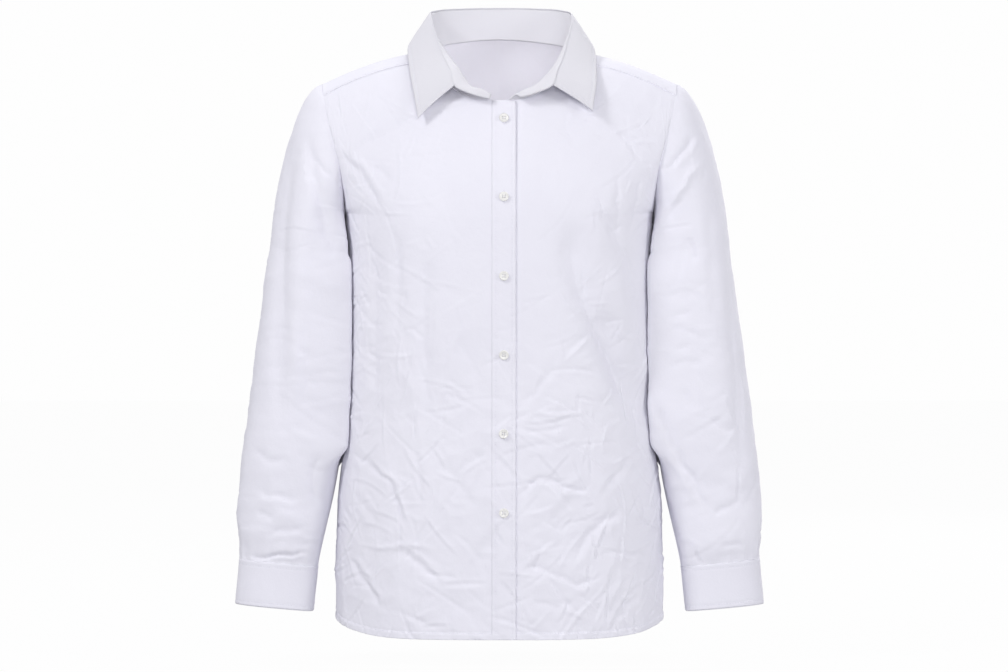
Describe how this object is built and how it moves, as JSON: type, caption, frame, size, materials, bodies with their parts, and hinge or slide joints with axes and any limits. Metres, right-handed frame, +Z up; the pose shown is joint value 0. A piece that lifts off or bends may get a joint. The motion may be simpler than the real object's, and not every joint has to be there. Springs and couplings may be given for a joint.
{
  "type": "crumpled button-up shirt, filled out as if worn",
  "caption": "Hollow long-sleeved white cotton shirt as if worn: open turned-down collar on a stand, yoke, buttoned front band, curved hem and buttoned cuffs, softly crumpled.",
  "frame": {"origin": "on the centre plane, level with the neck points and midway between the shoulders' front and back, where a wearer's shoulders carry the shirt", "axes": "+Z up, the wearer faces -Y, the wearer's left is +X"},
  "size_m": [0.6294, 0.2658, 0.7531],
  "materials": {
    "shirting": "matte cotton poplin, crumpled",
    "interlined_shirting": "matte cotton poplin over an interlining, smoother",
    "button": "satin white, faintly pearly"
  },
  "bodies": {
    "root": {"right_front": "shirting", "left_front": "shirting", "back": "shirting", "yoke": "shirting", "front_band": "shirting", "right_sleeve": "shirting", "left_sleeve": "shirting", "right_sleeve_placket": "shirting", "left_sleeve_placket": "shirting", "collar_stand": "interlined_shirting", "collar_fall": "interlined_shirting", "right_cuff": "interlined_shirting", "left_cuff": "interlined_shirting", "front_button_1": "button", "front_button_2": "button", "front_button_3": "button", "front_button_4": "button", "front_button_5": "button", "front_button_6": "button", "right_cuff_button": "button", "left_cuff_button": "button"}
  },
  "joints": []
}
